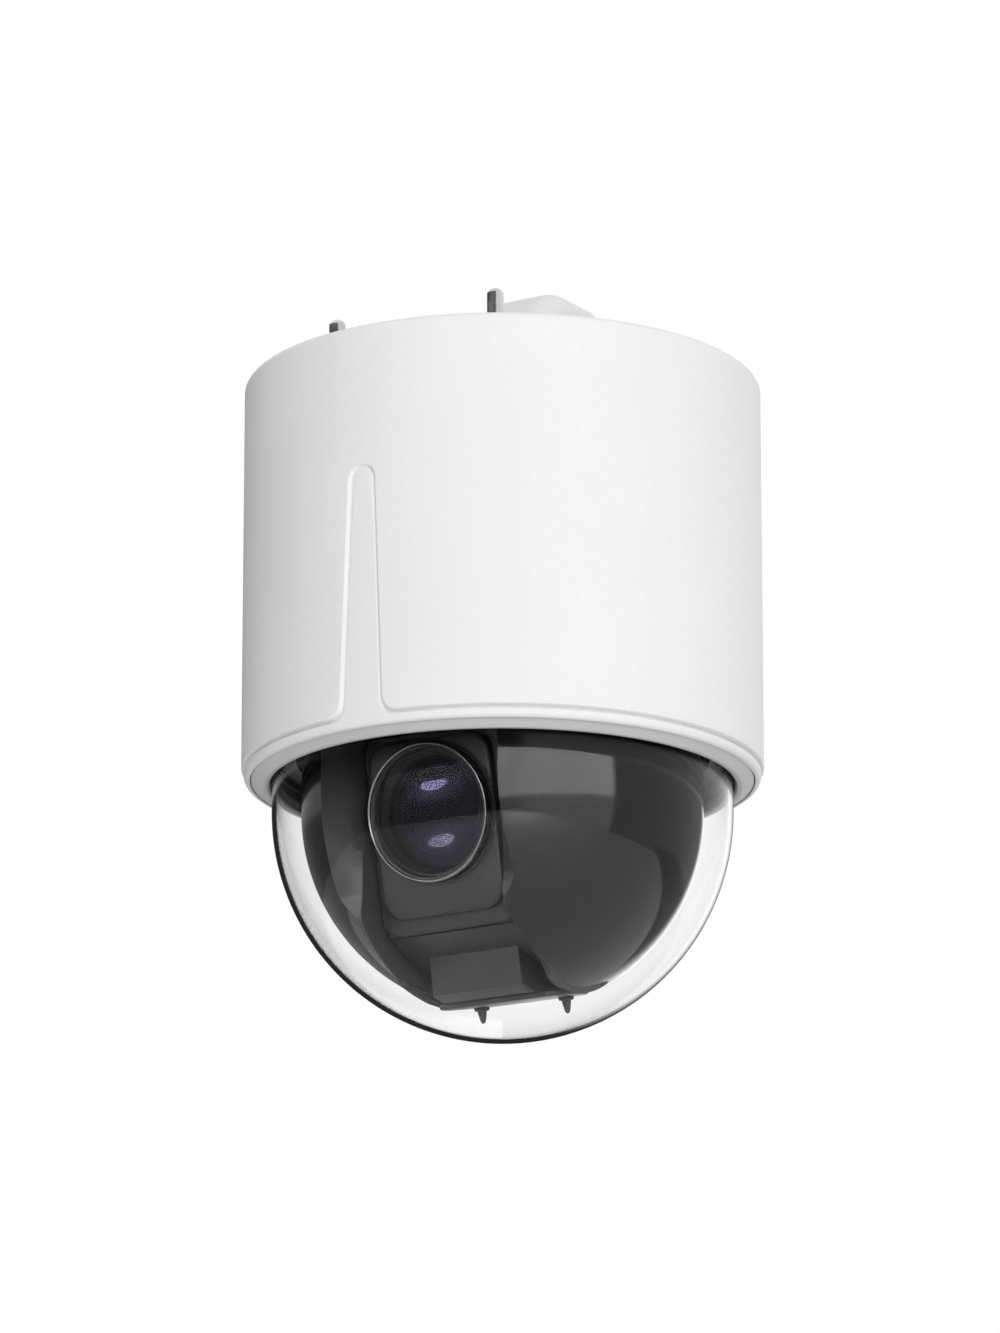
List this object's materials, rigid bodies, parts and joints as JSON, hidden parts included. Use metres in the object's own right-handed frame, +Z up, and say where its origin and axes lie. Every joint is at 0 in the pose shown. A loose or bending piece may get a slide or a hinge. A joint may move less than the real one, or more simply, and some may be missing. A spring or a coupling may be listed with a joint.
{
  "type": "ptz dome camera",
  "caption": "Indoor pan-tilt-zoom dome camera: white can-shaped housing with a clear lower dome around a dark motorised camera head.",
  "frame": {"origin": "centre of the four mounting studs, on the plane of the housing's top face", "axes": "+Z up along the pan axis, out of the top face; -Y is the front, the side that the recessed tongue and the lens face at rest; +X is to the right for someone looking from the front at -Y towards +Y"},
  "size_m": [0.176, 0.176, 0.265],
  "materials": {
    "white_paint": "satin white powder coat",
    "white_plastic": "satin white moulded plastic",
    "hood_plastic": "white moulded plastic",
    "grey_plastic": "light grey moulded plastic",
    "black_gloss": "glossy charcoal moulded plastic",
    "charcoal_plastic": "charcoal moulded plastic, semi-gloss",
    "black_plastic": "black moulded plastic",
    "clear_dome": "clear polycarbonate, polished",
    "lens_glass": "coated optical glass",
    "filter_glass": "infrared filter glass",
    "silver_ring": "bright turned aluminium",
    "zinc_sheet": "zinc-plated steel sheet",
    "screw_steel": "zinc-plated steel",
    "stud_steel": "polished stainless steel",
    "bearing_steel": "ground bearing steel",
    "motor_steel": "black-coated steel",
    "dark_metal": "dark grey coated steel",
    "cast_aluminium": "machined aluminium",
    "brass": "turned brass",
    "black_rubber": "black rubber",
    "circuit_board": "green solder resist"
  },
  "bodies": {
    "housing": {"housing_shell": "white_paint", "top_plate": "zinc_sheet", "top_screws": "screw_steel", "mounting_studs": "stud_steel", "stud_nuts": "screw_steel", "cable_hood": "hood_plastic", "cable_grommet": "black_rubber", "safety_eye": "zinc_sheet", "dome_ring": "white_plastic", "dome_seal": "black_rubber", "dome_bubble": "clear_dome", "dome_clamp_ring": "black_plastic", "dome_clamp_screws": "screw_steel", "trim_ring": "grey_plastic", "deck_posts": "brass", "chassis_deck": "zinc_sheet", "deck_screws": "screw_steel", "board_spacers": "brass", "main_board": "circuit_board", "slip_ring_body": "black_plastic", "pan_bearing_outer": "bearing_steel", "pan_bearing_balls": "bearing_steel", "pan_motor": "motor_steel", "pan_belt": "black_rubber"},
    "pan_drive": {"pan_pinion": "cast_aluminium"},
    "pan_head": {"turntable": "cast_aluminium", "pan_hub": "cast_aluminium", "pan_pulley": "cast_aluminium", "pan_bearing_inner": "bearing_steel", "slip_ring_rotor": "brass", "yoke_left": "dark_metal", "yoke_right": "dark_metal", "yoke_screws": "screw_steel", "shroud_left": "black_gloss", "shroud_right": "black_gloss", "head_screws": "screw_steel", "tilt_bushes": "brass", "tilt_motor": "motor_steel", "tilt_motor_bracket": "zinc_sheet", "tilt_belt": "black_rubber", "head_board": "circuit_board"},
    "tilt_drive": {"tilt_pinion": "cast_aluminium"},
    "camera": {"camera_case": "black_plastic", "case_cover": "black_plastic", "front_frame": "charcoal_plastic", "lens_bezel": "silver_ring", "front_lens": "lens_glass", "lens_barrel": "black_plastic", "tilt_shafts": "stud_steel", "tilt_pulley": "cast_aluminium", "chin_cover": "charcoal_plastic", "base_plate": "charcoal_plastic", "base_pins": "black_plastic", "sensor_board": "circuit_board", "guide_rods": "stud_steel", "zoom_magnet": "motor_steel", "focus_magnet": "motor_steel"},
    "zoom_lens": {"zoom_group": "black_plastic"},
    "focus_lens": {"focus_group": "black_plastic"},
    "filter": {"ir_cut_filter": "filter_glass"}
  },
  "joints": [
    {"name": "pan", "type": "hinge", "parent": "housing", "child": "pan_head", "pos_m": [0, 0, -0.067], "axis": [0, 0, 1], "continuous": true},
    {"name": "tilt", "type": "hinge", "parent": "pan_head", "child": "camera", "pos_m": [0, 0, -0.1484], "axis": [1, 0, 0], "range_deg": [-17, 78]},
    {"name": "pan_motor_spin", "type": "hinge", "parent": "housing", "child": "pan_drive", "pos_m": [0, 0.06, -0.08], "axis": [0, 0, 1], "continuous": true},
    {"name": "tilt_motor_spin", "type": "hinge", "parent": "pan_head", "child": "tilt_drive", "pos_m": [0.04, 0, -0.107], "axis": [1, 0, 0], "range_deg": [-57, 261]},
    {"name": "zoom", "type": "slide", "parent": "camera", "child": "zoom_lens", "axis": [0, 0.9781, 0.2079], "range_m": [0, 0.012]},
    {"name": "focus", "type": "slide", "parent": "camera", "child": "focus_lens", "axis": [0, 0.9781, 0.2079], "range_m": [-0.002, 0.005]},
    {"name": "ir_cut", "type": "slide", "parent": "camera", "child": "filter", "axis": [-1, 0, 0], "range_m": [0, 0.015]}
  ],
  "couplings": [
    {"joint": "pan_motor_spin", "follows": "pan", "ratio": 6},
    {"joint": "tilt_motor_spin", "follows": "tilt", "ratio": 3.3333}
  ]
}
